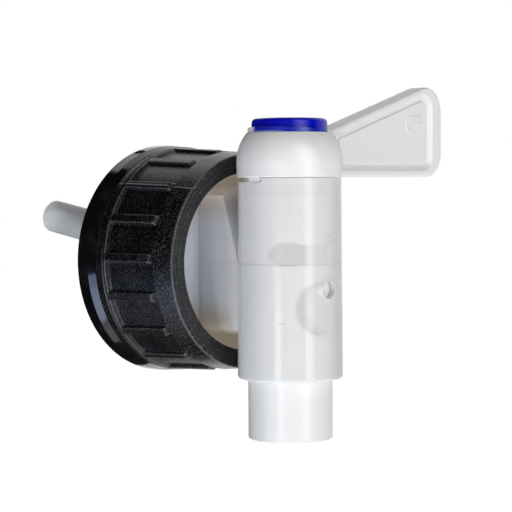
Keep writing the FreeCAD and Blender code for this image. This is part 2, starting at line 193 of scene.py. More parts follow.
# %% Slow waves and smudges
def make_smudges():
    """Mask = slow noise with patches Size across, pulled towards 0 or 1 by a smooth step."""
    tree, start, end = group("handling_smudges", "Mask", Size=12.0, Middle=0.5)
    slow = noise(tree, start["Vector"], rate(tree, start["Size"]), 4.0, 0.6)
    low, high = (maths(tree, side, start["Middle"], 0.14) for side in ("SUBTRACT", "ADD"))
    feed(tree, ranged(tree, slow, low, high), end)
    return shared_effect(tree)


smudges = make_smudges()

# %% Scratches and specks
def thin_line(tree, value, width):
    """1 where a noise passes through 0.5, falling to 0 where it is width away from that."""
    off = maths(tree, "ABSOLUTE", maths(tree, "SUBTRACT", value, 0.5))
    return maths(tree, "SUBTRACT", 1.0, maths(tree, "DIVIDE", off, width), clamp=True)


def make_scratches():
    """Mask = thin lines where a long stretched noise crosses its middle, broken up by a second."""
    tree, start, end = group("fine_scratches", "Mask", Spacing=3.0, Width=0.02)
    stretched = add(tree, "ShaderNodeMapping", {"Vector": start["Vector"], "Rotation": (0.25, 0.35, 0.15),
                                                "Scale": (1.0, 1.0, 0.12)}).outputs["Vector"]
    line = thin_line(tree, noise(tree, stretched, rate(tree, start["Spacing"])), start["Width"])
    gaps = noise(tree, start["Vector"], 1 / (9 * MM))
    kept = maths(tree, "MULTIPLY", maths(tree, "SUBTRACT", gaps, 0.5), 6.0, clamp=True)
    feed(tree, maths(tree, "MULTIPLY", line, kept), end)
    return shared_effect(tree)


def make_specks():
    """Mask = dots of about Radius round the points of a Voronoi pattern, over half of them dropped."""
    tree, start, end = group("dirt_specks", "Mask", Spacing=5.0, Radius=0.2)
    cells = add(tree, "ShaderNodeTexVoronoi", {"Vector": start["Vector"],
                                               "Scale": rate(tree, start["Spacing"])}, feature="F1").outputs
    reach = maths(tree, "DIVIDE", start["Radius"], start["Spacing"])
    near = maths(tree, "SUBTRACT", 1.0, maths(tree, "DIVIDE", cells["Distance"], reach), clamp=True)
    drawn = add(tree, "ShaderNodeSeparateColor", {"Color": cells["Color"]}).outputs["Red"]
    feed(tree, maths(tree, "MULTIPLY", near, maths(tree, "GREATER_THAN", drawn, 0.55)), end)
    return shared_effect(tree)


scratches, specks = make_scratches(), make_specks()

# %% [markdown]
# ## Marks and painted shade on the barrel
# The barrel's wall is under two millimetres of milky plastic, so the ports of the key show through
# it as soft grey shapes. Real translucency could show them, but it would take many samples and the
# shapes would drown in noise. A mask in cylinder coordinates is steadier, so their shadows are
# painted: the angle round the barrel's axis times its radius gives a distance along the wall, and a
# soft box in distance and height gives the painted shadow.

# %% Soft box on the barrel's wall
barrel_y, barrel_radius = -31.2, 14.7


def along_wall(tree, vector):
    """Two outputs: the angle round the barrel's axis in radians, and the height in millimetres."""
    parts = split(tree, vector)
    ahead = maths(tree, "SUBTRACT", parts["Y"], barrel_y * MM)
    return maths(tree, "ARCTAN2", ahead, parts["X"]), maths(tree, "DIVIDE", parts["Z"], MM)


def make_wall_patch():
    """Mask = 1 inside a box round (Angle, Height) with corners of radius Round, then fades over Fade.

    The distance along the wall is the turn from Angle, in radians, times the barrel's radius.
    What lies outside the box's half sizes is squared, added and rooted, less Round, over Fade."""
    tree, start, end = group("wall_patch", "Mask", Angle=0.0, Height=0.0, Half_width=3.0, Half_height=3.0,
                             Round=0.0, Fade=1.0)
    angle, upward = along_wall(tree, start["Vector"])
    turn = maths(tree, "SUBTRACT", angle, maths(tree, "RADIANS", start["Angle"]))
    turn = maths(tree, "ABSOLUTE", maths(tree, "WRAP", turn, math.pi, -math.pi))
    along = maths(tree, "MULTIPLY", turn, barrel_radius)
    rise = maths(tree, "ABSOLUTE", maths(tree, "SUBTRACT", upward, start["Height"]))
    over, high = (maths(tree, "MAXIMUM", maths(tree, "SUBTRACT", value, start[half]), 0.0)
                  for value, half in ((along, "Half width"), (rise, "Half height")))
    beyond = maths(tree, "SUBTRACT", distance(tree, over, high), start["Round"])
    feed(tree, ranged(tree, maths(tree, "DIVIDE", beyond, start["Fade"]), 0.0, 1.0, 1.0, 0.0), end)
    return shared_effect(tree)


wall_patch = make_wall_patch()

# %% [markdown]
# Something has dragged down the barrel above the parting line and left a fan of hair lines. They
# run slantwise, so they are a noise that is squeezed across that slant and stretched along it, cut
# to thin lines, and kept inside one soft box.

# %% Drag marks
def make_drag_marks():
    """Mask = thin lines that run across the direction (along the wall, height), turned by a slant."""
    slant, stretch, line_width = 0.9, 0.05, 0.035
    tree, start, end = group("drag_marks", "Mask")
    angle, upward = along_wall(tree, start["Vector"])
    along = maths(tree, "MULTIPLY", angle, barrel_radius)
    across = maths(tree, "MULTIPLY_ADD", along, math.sin(slant),
                   maths(tree, "MULTIPLY", upward, math.cos(slant)))
    down = maths(tree, "SUBTRACT", maths(tree, "MULTIPLY", upward, math.sin(slant)),
                 maths(tree, "MULTIPLY", along, math.cos(slant)))
    place = add(tree, "ShaderNodeCombineXYZ", {"X": across, "Y": maths(tree, "MULTIPLY", down, stretch)})
    lines = thin_line(tree, noise(tree, place.outputs["Vector"], 0.55, 1.0, dimensions="2D"), line_width)
    box = wall_patch(tree, start["Vector"], 225.0, 11.0, 1.6, 2.2, 0.5, 3.0)
    feed(tree, maths(tree, "MULTIPLY", lines, box), end)
    return shared_effect(tree)


drag_marks = make_drag_marks()

# %% [markdown]
# ## The natural plastic of the barrel and collar
# This is polyethylene without pigment: milky, a little cool in colour, and soft to the light, which
# goes in and comes out again some millimetres away. Glass-like transmission would make it too clear,
# so the light is scattered under the surface instead. The base colour is then changed by slow
# clouds, by painted shadows of the ports behind the wall, by painted shade on the wall's right side
# and in the collar's dish, and by scratches and specks. The dish's ends get a painted glow.

# %% Base of a material
def paint(name, **values):
    """A material, its tree and its shader's inputs, of which some get values."""
    made = bpy.data.materials.new(name)
    made.use_nodes = True
    shader = made.node_tree.nodes["Principled BSDF"].inputs
    for label, value in values.items():
        shader[label.replace("_", " ")].default_value = value
    return made, made.node_tree, shader


def object_place(tree):
    """The place on a piece, in its own coordinates."""
    return add(tree, "ShaderNodeTexCoord").outputs["Object"]


def milky(name, depth, weight, **values):
    """A material whose light scatters under the surface, about depth in millimetres."""
    settings = {"IOR": 1.5, "Subsurface_Weight": weight, "Subsurface_Radius": (1.0, 1.0, 1.0),
                "Subsurface_Scale": depth * MM}
    made, tree, shader = paint(name, **{**settings, **values})
    return made, tree, shader, object_place(tree)


def colour_by(tree, shader, factor, colour, tone, *more):
    """The base colour, blended towards one tone after another."""
    feed(tree, blend(tree, factor, colour, tone, *more), shader["Base Color"])


def roughen(tree, shader, place, low, high, size):
    """Roughness between low and high, by smudges of a size."""
    mask = smudges(tree, place, size, 0.5)
    feed(tree, ranged(tree, mask, 0.0, 1.0, low, high, "LINEAR"), shader["Roughness"])


def emboss(tree, shader, height, depth):
    """A bump whose height of 1 stands for depth in millimetres."""
    bump = add(tree, "ShaderNodeBump", {"Strength": 1.0, "Distance": depth * MM, "Height": height})
    feed(tree, bump.outputs["Normal"], shader["Normal"])

# %% [markdown]
# The marks were read off the photograph, each as a box on the unrolled wall. Most are painted
# shade: the ports' shadows and a darker right side of the wall; the rest are faint rings and real
# nicks. The round port's painted shadow is darkest in a crescent, which is its disc less a second
# disc to its right. The dish of the collar gets painted shade, cool in its middle and darker and
# warmer in its outer part. Its upper and lower ends are lighter and warmest, with a faint painted
# glow, for the light that has gone through more of the plastic.

# %% Marks and painted shade on the wall, and masks for the dish
# Each mark: angle, height, half width, half height, corner, fade, and strength.
# Painted shade: the upper port's boxes, the wall's right side and the round port are shadows painted on the
# wall; the rings are faint lines, and the nicks are real marks.
wall_marks_and_shade = [(219.5, 2.9, 1.6, 0.1, 2.45, 1.1, 0.28),  # the upper port's rounded left end
              (208.0, 2.7, 0.9, 0.1, 1.1, 1.3, 0.24),  # its blurred tip
              (231.5, 2.9, 2.3, 2.4, 0.0, 0.45, 0.28),  # its middle
              (250.0, 2.9, 4.2, 2.3, 0.0, 0.6, 0.12),  # its fainter right part
              # painted shade: the wall's right side is darkened where less light reaches it
              (300.0, -5.5, 4.0, 26.0, 0.0, 6.0, 0.2),  # the wall's darker right side
              (256.5, -12.2, 0.1, 0.1, 6.6, 1.6, 0.08),  # the round port below
              (225.0, 19.4, 16.0, 0.15, 0.1, 0.4, 0.08),  # two faint rings near the top
              (225.0, 20.9, 16.0, 0.8, 0.1, 0.5, 0.05),
              (213.0, -16.1, 0.8, 0.03, 0.0, 0.2, 0.4),  # three nicks
              (246.0, -10.5, 0.6, 0.03, 0.0, 0.2, 0.4),
              (247.5, -18.7, 0.7, 0.03, 0.0, 0.18, 0.4)]
# The round port's painted shadow: its disc, less the cover to its right, leaves a crescent.
port_disc = (256.5, -12.2, 0.1, 0.1, 6.3, 1.5)
port_cover = (269.0, -12.2, 0.1, 0.1, 5.0, 3.8)
joint_heights = (21.9, -33.0)


def dish_shade_and_glow(tree, vector):
    """Three masks for the collar's dish: all of it, its outer part, and its upper and lower ends. The
    first two carry painted shade, the third a painted glow.

    The first is 1 from 4 to 14 mm in front of the neck plane and gone at 19, and within 26.2 mm of
    the cap axis. The second grows between 13 and 20 mm from that axis, the third between 15 and
    22 mm above or below it."""
    parts = split(tree, vector)
    away = distance(tree, parts["Z"], parts["X"])
    steps = ((parts["Y"], -19.0, -14.0), (away, 13.0, 20.0),
             (maths(tree, "ABSOLUTE", parts["Z"]), 15.0, 22.0))
    near, outer, ends = (ranged(tree, value, low * MM, high * MM) for value, low, high in steps)
    behind = maths(tree, "MULTIPLY", maths(tree, "LESS_THAN", parts["Y"], -4.2 * MM),
                   maths(tree, "LESS_THAN", away, 26.2 * MM))
    within = maths(tree, "MULTIPLY", near, behind)
    return within, maths(tree, "MULTIPLY", within, outer), maths(tree, "MULTIPLY", within, ends)


print("wall marks:", len(wall_marks_and_shade), "and crumbs of dirt at", joint_heights, "mm")

# %% Natural polyethylene
def painted_shade_and_dirt(tree, place):
    """How dark the plastic is: the strongest of the wall's boxes, which are painted shade of the ports
    and of the wall's right side, faint rings and real nicks, plus the port's painted crescent of
    shadow, clouds, crumbs and dirt.
    """
    shade = 0.0
    for *box, strength in wall_marks_and_shade:
        mark = maths(tree, "MULTIPLY", wall_patch(tree, place, *box), strength)
        shade = maths(tree, "MAXIMUM", shade, mark)
    disc, cover = (wall_patch(tree, place, *box) for box in (port_disc, port_cover))
    crescent = maths(tree, "MULTIPLY", disc, maths(tree, "SUBTRACT", 1.0, cover))
    shade = maths(tree, "MULTIPLY_ADD", crescent, 0.22, shade)
    clouds = smudges(tree, place, 9.0, 0.55)
    shade = maths(tree, "MULTIPLY_ADD", clouds, 0.03, shade)
    crumbs = specks(tree, place, 1.1, 0.16)
    for height in joint_heights:
        joint = wall_patch(tree, place, 225.0, height, 25.0, 0.1, 0.0, 0.5)
        shade = maths(tree, "MULTIPLY_ADD", maths(tree, "MULTIPLY", crumbs, joint), 0.8, shade)
    dirt = specks(tree, place, 6.0, 0.2)
    return maths(tree, "MULTIPLY_ADD", dirt, 0.6, shade, clamp=True)


def make_natural_plastic():
    """Milky plastic with its marks and painted shade, the dish's painted shade, a faint painted warm
    glow at the dish's ends, and a relief of slow waves, grain, drag marks and scratches."""
    made, tree, shader, place = milky("natural_polyethylene", 1.5, 0.6, Specular_IOR_Level=0.40,
                                      Emission_Strength=0.06)
    # Painted shade over the dish and darker towards its rim, and a painted glow at its upper and lower ends,
    # which also sets the emission.
    within, outward, painted_glow = dish_shade_and_glow(tree, place)
    colour_by(tree, shader, painted_shade_and_dirt(tree, place), (0.82, 0.825, 0.825), (0.34, 0.335, 0.33),
              (within, (0.62, 0.67, 0.75)), (outward, (0.58, 0.54, 0.52)), (painted_glow, (0.80, 0.75, 0.68)))
    feed(tree, blend(tree, painted_glow, (0, 0, 0), (1.0, 0.92, 0.78)), shader["Emission Color"])
    roughen(tree, shader, place, 0.11, 0.17, 7.0)
    lines = scratches(tree, place, 3.2, 0.010)
    dragged = drag_marks(tree, place)
    pebbles, waves = (grain(tree, place, size) for size in (1.6, 7.0))
    height = maths(tree, "MULTIPLY_ADD", waves, 8.0, maths(tree, "MULTIPLY_ADD", dragged, 5.0, pebbles))
    emboss(tree, shader, maths(tree, "MULTIPLY_ADD", lines, -0.5, height), 0.010)
    return made


natural_plastic = make_natural_plastic()
print("finish:", natural_plastic.name, len(natural_plastic.node_tree.nodes), "nodes")

# %% [markdown]
# ## The whiter plastic of the key
# The key is a second moulding. It is whiter and more opaque than the barrel, with a slight satin
# finish and a fine grain. A thin lip stands round the plug. In the photograph the plug's blue
# reaches down over it in front, so that part is blue here, with a paler foot on the left, where a
# film of plastic laps over the plug.

# %% White polyethylene
def lip_masks(tree, vector):
    """Two masks for the thin lip round the plug: the part that the plug's blue covers, and its foot.

    The lip is what lies above 36.5 mm and within 12.3 mm of the barrel's axis. The blue part is
    where the direction from that axis is within about 60 degrees of 226. The foot is the part of it
    below 37 mm and within about 40 degrees of 165."""
    parts = split(tree, vector)
    across, height = parts["X"], parts["Z"]
    ahead = maths(tree, "SUBTRACT", parts["Y"], barrel_y * MM)
    away = distance(tree, across, ahead)
    lip = maths(tree, "MULTIPLY", maths(tree, "GREATER_THAN", height, 36.52 * MM),
                maths(tree, "LESS_THAN", away, 12.3 * MM))

    def facing(degrees, low, high):
        """1 where the direction from the axis is near some degrees: a step in the turn's cosine."""
        angle = math.radians(degrees)
        ahead_part = maths(tree, "MULTIPLY", ahead, math.sin(angle))
        turned = maths(tree, "MULTIPLY_ADD", across, math.cos(angle), ahead_part)
        return ranged(tree, maths(tree, "DIVIDE", turned, away), low, high)

    blue = maths(tree, "MULTIPLY", lip, facing(226, 0.40, 0.56))
    low_part = ranged(tree, height, 36.85 * MM, 37.0 * MM, 1.0, 0.0)
    foot = maths(tree, "MULTIPLY", facing(165, 0.6, 0.85), low_part)
    return blue, maths(tree, "MULTIPLY", blue, foot)


def make_white_plastic():
    """White plastic with faint clouds, a few specks, fine grain and scratches."""
    made, tree, shader, place = milky("white_polyethylene", 0.6, 0.35)
    clouds = smudges(tree, place, 11.0, 0.58)
    dirt = specks(tree, place, 9.0, 0.2)
    shade = maths(tree, "MULTIPLY_ADD", dirt, 0.5, maths(tree, "MULTIPLY", clouds, 0.012), clamp=True)
    lip, foot = lip_masks(tree, place)
    colour_by(tree, shader, shade, (0.91, 0.91, 0.91), (0.52, 0.51, 0.50),
              (lip, (0.004, 0.012, 0.44)), (foot, (0.26, 0.30, 0.60)))
    roughen(tree, shader, place, 0.278, 0.282, 8.0)
    lines = scratches(tree, place, 4.0, 0.010)
    pebbles = grain(tree, place, 0.55)
    emboss(tree, shader, maths(tree, "MULTIPLY_ADD", lines, -0.6, pebbles), 0.014)
    return made


white_plastic = make_white_plastic()
print("finish:", white_plastic.name)

# %% [markdown]
# ## Blue, clear and foamed plastic
# The plug is a deep blue lid with a polish. The air tube is a thinner, clearer extrusion, so more
# light passes through it, and it has fine lines along its length from the die. The gasket is a
# foamed sheet, punched out: dull, with tiny pits. The film round the plug is a clear skin.

# %% Blue, clear and foamed polyethylene
tube_slope = math.radians(9.5)


def make_blue_plastic():
    """Deep blue with a soft gloss, slightly lighter where it has been rubbed."""
    made, tree, shader, place = milky("blue_polyethylene", 0.6, 0.15, Specular_IOR_Level=0.25)
    rubbed = smudges(tree, place, 5.0, 0.56)
    colour_by(tree, shader, maths(tree, "MULTIPLY", rubbed, 0.35), (0.0, 0.003, 0.50), (0.006, 0.010, 0.64))
    roughen(tree, shader, place, 0.22, 0.32, 4.0)
    lines = scratches(tree, place, 2.6, 0.012)
    pebbles = grain(tree, place, 0.5)
    emboss(tree, shader, maths(tree, "MULTIPLY_ADD", lines, -0.7, pebbles), 0.008)
    return made


def make_clear_plastic():
    """Cloudy extruded plastic: part of the light goes straight through, the rest scatters."""
    made, tree, shader, place = milky("clear_polyethylene", 2.5, 0.6, Transmission_Weight=0.25)
    clouds = smudges(tree, place, 6.0, 0.5)
    colour_by(tree, shader, maths(tree, "MULTIPLY", clouds, 0.3), (0.68, 0.70, 0.72), (0.50, 0.51, 0.52))
    roughen(tree, shader, place, 0.3, 0.42, 5.0)
    stretched = add(tree, "ShaderNodeMapping", {"Vector": place, "Rotation": (-tube_slope, 0, 0),
                                                "Scale": (1.0, 0.04, 1.0)}).outputs["Vector"]
    emboss(tree, shader, grain(tree, stretched, 0.6), 0.02)
    return made


def make_foam():
    """Off-white closed-cell foam: round pits from a Voronoi pattern, darker in some places."""
    made, tree, shader, place = milky("foam_polyethylene", 1.0, 0.3)
    cells = add(tree, "ShaderNodeTexVoronoi", {"Vector": place, "Scale": 1 / (0.45 * MM)},
                feature="SMOOTH_F1").outputs["Distance"]
    worn = smudges(tree, place, 6.0, 0.5)
    pits = maths(tree, "MULTIPLY", maths(tree, "SUBTRACT", 1.0, cells, clamp=True),
                 maths(tree, "MULTIPLY_ADD", worn, 0.3, 0.15))
    colour_by(tree, shader, pits, (0.80, 0.79, 0.76), (0.55, 0.53, 0.49))
    roughen(tree, shader, place, 0.68, 0.85, 5.0)
    emboss(tree, shader, cells, 0.06)
    return made


def make_film():
    """A thin skin of the white plastic, clear enough to show the blue behind it."""
    made, tree, shader, place = milky("film_polyethylene", 0.3, 0.1, IOR=1.2, Transmission_Weight=0.55)
    clouds = smudges(tree, place, 2.0, 0.5)
    colour_by(tree, shader, clouds, (0.55, 0.62, 0.92), (0.40, 0.46, 0.80))
    roughen(tree, shader, place, 0.1, 0.3, 2.0)
    emboss(tree, shader, grain(tree, place, 1.2), 0.03)
    return made


blue_plastic, clear_plastic, foam = make_blue_plastic(), make_clear_plastic(), make_foam()
film_plastic = make_film()
print("finishes:", blue_plastic.name, clear_plastic.name, foam.name, film_plastic.name)

# %% [markdown]
# ## Black polypropylene
# The screw cap came out of a coarse eroded mould: the ribs and the wall between them are matt and
# pebbled. Its front ring was turned, so it shows fine rings round the axis. The edges are rubbed
# paler, and the pale lines along them are painted highlights as well as wear. The pale peaks of the
# grain are painted glints. The cap's surface below carries two attributes, worn and turned, which
# say where. The band behind it is of the same black, polished.

# %% Black polypropylene, grained and polished
def make_black_plastic():
    """Grained black. The grain's peaks are painted pale as glints, more so where the worn attribute is
    high, and all of the surface is where it is over 0.6, for wear and painted edge highlights. Rings
    replace the grain where the turned attribute is 1: their height is a sine of the distance from the
    cap axis."""
    peak, sharpness, solid_from, ring_pitch, ring_height = 0.555, 20.0, 0.6, 0.42, 0.20
    made, tree, shader = paint("black_polypropylene", IOR=1.49, Specular_IOR_Level=0.42)
    place = object_place(tree)
    worn, turned = (add(tree, "ShaderNodeAttribute", attribute_name=name).outputs["Fac"]
                    for name in ("worn", "turned"))
    dust = smudges(tree, place, 7.0, 0.55)
    dots = specks(tree, place, 2.4, 0.16)
    pebbles = grain(tree, place, 0.48)
    # Painted glints: the peaks of the grain are painted pale, in place of the lamps caught by the bumps.
    broken = maths(tree, "MULTIPLY", maths(tree, "SUBTRACT", pebbles, peak), sharpness, clamp=True)
    # The worn attribute marks real wear together with painted highlights along the edges.
    solid = maths(tree, "MULTIPLY", maths(tree, "SUBTRACT", worn, solid_from), 1.6, clamp=True)
    pale = maths(tree, "MULTIPLY", maths(tree, "MULTIPLY_ADD", worn, 0.8, 0.2), broken)
    pale = maths(tree, "MAXIMUM", pale, solid)
    pale = maths(tree, "MULTIPLY_ADD", turned, 0.07, pale)
    pale = maths(tree, "MULTIPLY_ADD", dust, 0.03, pale)
    pale = maths(tree, "MULTIPLY_ADD", dots, 0.35, pale, clamp=True)
    colour_by(tree, shader, pale, (0.0016, 0.0017, 0.002), (0.16, 0.16, 0.17))
    parts = split(tree, place)
    turns = maths(tree, "MULTIPLY", distance(tree, parts["Z"], parts["X"]), 2 * math.pi / (ring_pitch * MM))
    rings = maths(tree, "MULTIPLY", maths(tree, "SINE", turns), ring_height)
    pick = add(tree, "ShaderNodeMix", {"Factor": turned, "A": pebbles, "B": rings}, data_type="FLOAT")
    emboss(tree, shader, pick.outputs["Result"], 0.10)
    satin = maths(tree, "MULTIPLY_ADD", dust, 0.25, maths(tree, "MULTIPLY", turned, -0.6))
    feed(tree, ranged(tree, satin, -0.6, 0.25, 0.22, 0.27, "LINEAR"), shader["Roughness"])
    return made


def make_black_gloss():
    """Polished black with slow waves, faint scratches and a little dust."""
    made, tree, shader = paint("black_gloss_polypropylene", IOR=1.5)
    place = object_place(tree)
    dust = smudges(tree, place, 6.0, 0.6)
    dots = specks(tree, place, 3.0, 0.14)
    pale = maths(tree, "MULTIPLY_ADD", dots, 0.4, maths(tree, "MULTIPLY", dust, 0.06), clamp=True)
    colour_by(tree, shader, pale, (0.004, 0.0042, 0.0048), (0.13, 0.13, 0.137))
    roughen(tree, shader, place, 0.05, 0.12, 5.0)
    lines = scratches(tree, place, 2.4, 0.012)
    waves = grain(tree, place, 3.0)
    emboss(tree, shader, maths(tree, "MULTIPLY_ADD", lines, -0.08, waves), 0.05)
    return made


black_plastic, black_gloss = make_black_plastic(), make_black_gloss()
print("finishes:", black_plastic.name, black_gloss.name)

# %% [markdown]
# ## Finishes on the CAD pieces
# The body, the key, the plug, the gasket and the band have the right shape already, so they keep
# their solids. Only the material in their slot changes.

# %% Assign the finishes
finish_of = {"valve_body": natural_plastic, "valve_key": white_plastic, "key_plug": blue_plastic,
             "neck_gasket": foam, "tamper_band": black_gloss, "air_tube": clear_plastic,
             "screw_cap": black_plastic}
for name, finish in finish_of.items():
    for slot in nodes[name].material_slots:
        slot.material = finish
    print(name, "->", finish.name)

# %% [markdown]
# ## Surfaces from arrays
# A new piece is a grid of points: its rows follow a profile, its columns go round. numpy works out
# all the points at once. The helper below turns such a grid into a mesh, and closes it round either
# way. A closed piece with its faces the wrong way round has a negative volume, so its volume is
# measured and the faces are turned if need be.

# %% Grid to mesh
def grid_mesh(name, points, close_rows=True, close_columns=True, sharp=40.0, attributes=None):
    """A mesh object from an array of points (rows, columns, 3), with smooth faces.

    Volume = a sixth of the sum, over the triangles, of corner a dotted with b cross c."""
    rows, columns = points.shape[:2]
    index = np.arange(rows * columns).reshape(rows, columns)
    if close_rows:
        index = np.vstack([index, index[:1]])
    if close_columns:
        index = np.hstack([index, index[:, :1]])
    quads = np.stack([index[:-1, :-1], index[:-1, 1:], index[1:, 1:], index[1:, :-1]], -1).reshape(-1, 4)
    flat = points.reshape(-1, 3)
    a, b, c, d = (flat[quads[:, i]] for i in range(4))
    volume = sum(np.einsum("ij,ij->i", a, np.cross(p, q)) for p, q in ((b, c), (c, d))).sum() / 6
    if volume < 0:
        quads = quads[:, ::-1]
    mesh = bpy.data.meshes.new(name)
    mesh.from_pydata(flat.tolist(), [], quads.tolist())
    for label, values in (attributes or {}).items():
        mesh.attributes.new(label, "FLOAT", "POINT").data.foreach_set(
            "value", np.ascontiguousarray(values, dtype=np.float32).ravel())
    mesh.shade_smooth()
    mesh.set_sharp_from_angle(angle=math.radians(sharp))
    mesh.update()
    print(name, "points", rows, "x", columns, "volume", round(abs(volume) / MM ** 3, 1), "mm3")
    return add_object(name, mesh)


def dress(piece, material, body, replaced=None):
    """Give a piece its material and the body that it rides on, and hide the node that it replaces."""
    piece.data.materials.append(material)
    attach(piece, body)
    if replaced:
        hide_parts(replaced)

# %% [markdown]
# ## A profile with rounded corners
# Every turned shape here is drawn as a few corners, each with its rounding. The function replaces
# each corner by an arc that touches both sides, and then fills the straight runs with more points,
# so that the grid's cells stay even where a thread or a rib needs them.

# %% Rounded profile
def rounded_profile(corners, step, arc_points=5):
    """Points of a closed outline, from corners given as a, b and radius.

    At a corner with half angle h, the arc starts radius / tan(h) before it, and its centre lies
    radius / sin(h) along the bisector. Straight runs get a point about every step."""
    corner, radius = np.array(corners, float)[:, :2], np.array(corners, float)[:, 2]
    before = np.roll(corner, 1, 0) - corner
    after = np.roll(corner, -1, 0) - corner
    before /= np.linalg.norm(before, axis=1)[:, None]
    after /= np.linalg.norm(after, axis=1)[:, None]
    half = np.arccos(np.clip((before * after).sum(1), -1, 1)) / 2
    start = corner + before * (radius / np.tan(half))[:, None]
    end = corner + after * (radius / np.tan(half))[:, None]
    middle = before + after
    middle /= np.linalg.norm(middle, axis=1)[:, None]
    centre = corner + middle * (radius / np.sin(half))[:, None]
    pieces = []
    for i in range(len(corner)):
        share = np.linspace(0, 1, arc_points)[:, None]
        chord = (start[i] - centre[i]) * (1 - share) + (end[i] - centre[i]) * share
        chord *= radius[i] / np.linalg.norm(chord, axis=1)[:, None]
        pieces.append(centre[i] + chord)
        following = start[(i + 1) % len(corner)]
        count = int(np.linalg.norm(following - end[i]) / step)
        if count > 1:
            share = np.linspace(0, 1, count + 1)[1:-1, None]
            pieces.append(end[i] * (1 - share) + following * share)
    return np.vstack(pieces)


def smooth_step(value, low, high):
    """0 below low, 1 above high, and 3 t squared less 2 t cubed between them."""
    share = np.clip((value - low) / (high - low), 0, 1)
    return share * share * (3 - 2 * share)


def bell(value, middle, width):
    """1 at the middle and falling away on both sides: e to the minus square of its distance over width."""
    return np.exp(-((value - middle) / width) ** 2)

# %% [markdown]
# ## The screw cap
# The cap is a turned form with eighteen ribs outside and a coarse thread inside. One could cut it
# from solids, but their edges would be knife sharp. Here the whole cap is one closed surface: the
# profile gives the radius at each row, and then the ribs are added to it outside and the thread
# inside, each as a height over the angle and the distance along the axis. The columns stand closer
# together at the ribs' edges, where the surface bends most.

# %% Cap profile
front_depth, panel_length, rear_depth, front_wall, bead_height = 7.2, 16.9, 4.7, 2.7, 0.25
cap_front = -14.95
cap_shoulder = cap_front + front_depth
panel_end = cap_shoulder + panel_length
cap_end = panel_end + rear_depth
opening_radius, collar_pocket_radius, thread_radius = 25.57, 27.92, 29.0
shoulder_radius, panel_radius, cap_taper, ring_radius = 31.75, 31.2, 0.053, 33.1
panel_end_radius = panel_radius + cap_taper * panel_length
ring_start = panel_end + ring_radius - panel_end_radius
bead = ring_start + 0.7
cap_corners = [(opening_radius, cap_front, 0.2), (shoulder_radius - 0.8, cap_front - 0.7, 0.45),
               (shoulder_radius, cap_shoulder - 0.55, 0.3), (panel_radius, cap_shoulder, 0.3),
               (panel_end_radius, panel_end, 0.5), (ring_radius, ring_start, 0.25),
               (ring_radius, bead, 0.08), (ring_radius + bead_height, bead + 0.35, 0.08),
               (ring_radius, bead + 0.7, 0.08), (ring_radius, cap_end, 0.25),
               (thread_radius, cap_end, 0.3), (thread_radius, 0.0, 0.3),
               (collar_pocket_radius, 0.0, 0.2), (collar_pocket_radius, cap_front + front_wall, 0.2),
               (opening_radius, cap_front + front_wall, 0.15)]
profile = rounded_profile(cap_corners, 0.42)
print("cap profile:", len(profile), "points")

# %% Columns, closer together at the ribs' edges
rib_count, rib_width, rib_height, rib_edge = 18, 2.6, 1.05, 0.32
first_rib = math.pi - math.radians(2.9)
pitch_angle = 2 * math.pi / rib_count
edge = rib_width / 2 / shoulder_radius
soft = rib_edge / shoulder_radius
half_cell = np.concatenate([np.linspace(0, edge - soft, 4)[:-1], np.linspace(edge - soft, edge + soft, 7),
                            np.linspace(edge + soft, pitch_angle / 2, 8)[1:]])
one_cell = np.sort(np.concatenate([-half_cell[:-1], half_cell[:-1]]))  # its middle stands twice
angles = (np.arange(rib_count)[:, None] * pitch_angle + first_rib + one_cell).ravel()
turn_in_cell = np.abs((angles - first_rib + pitch_angle / 2) % pitch_angle - pitch_angle / 2)[None, :]
print("columns:", len(angles))

# %% Cap radius with ribs and thread
radius, along = profile[:, :1], profile[:, 1:]
outside = radius > collar_pocket_radius + 2.5
plateau = 1 - smooth_step(turn_in_cell, edge - soft, edge + soft)
from_front = smooth_step(along, cap_shoulder - 0.1, cap_shoulder + 0.9)
to_rear = 1 - smooth_step(along, panel_end + rib_height - 0.25, panel_end + rib_height + 0.15)
rib_top = panel_radius + cap_taper * (along - cap_shoulder) + rib_height * from_front * plateau
ribbed = np.where(outside & (along > cap_shoulder - 0.2) & (to_rear > 0),
                  np.maximum(radius, rib_top * (to_rear > 0.5)), radius)

thread_pitch, thread_height = 4.3, 0.95
phase = (along / thread_pitch - angles[None, :] / (2 * math.pi)) % 1.0
ridge = smooth_step(phase, 0.30, 0.42) - smooth_step(phase, 0.58, 0.70)
run_in = smooth_step(along, 1.0, 3.2) * (1 - smooth_step(along, cap_end - 2.2, cap_end - 0.6))
inside = (np.abs(radius - thread_radius) < 0.05) & (along > 0.5)
cap_radius = np.where(inside, radius - thread_height * ridge * run_in, ribbed)
print("cap radius from", round(float(cap_radius.min()), 2), "to", round(float(cap_radius.max()), 2), "mm")

# %% [markdown]
# Wear and painted highlights are worked out on the same grid. A cap is rubbed where it stands out:
# at its front edge, along the tips and sides of the ribs, on the shoulder, and on the ring and the
# end behind them. Two worn lines run round the turned front. These pale marks are partly wear and
# partly painted highlights along the edges and lines.

# %% Wear, painted highlights and the cap's mesh
line_radii, line_half, side_radius = (28.0, 29.7), 0.2, 32.0
turned_mask = (along < cap_front + 0.6) & (radius < shoulder_radius - 1.3) & (radius > opening_radius - 0.01)
on_line = sum(np.abs(radius - at) < line_half for at in line_radii) * turned_mask
on_rib = cap_radius - radius > 0.5 * rib_height
rib_side = bell(turn_in_cell, edge - 0.2 / side_radius, 0.3 / side_radius) * on_rib
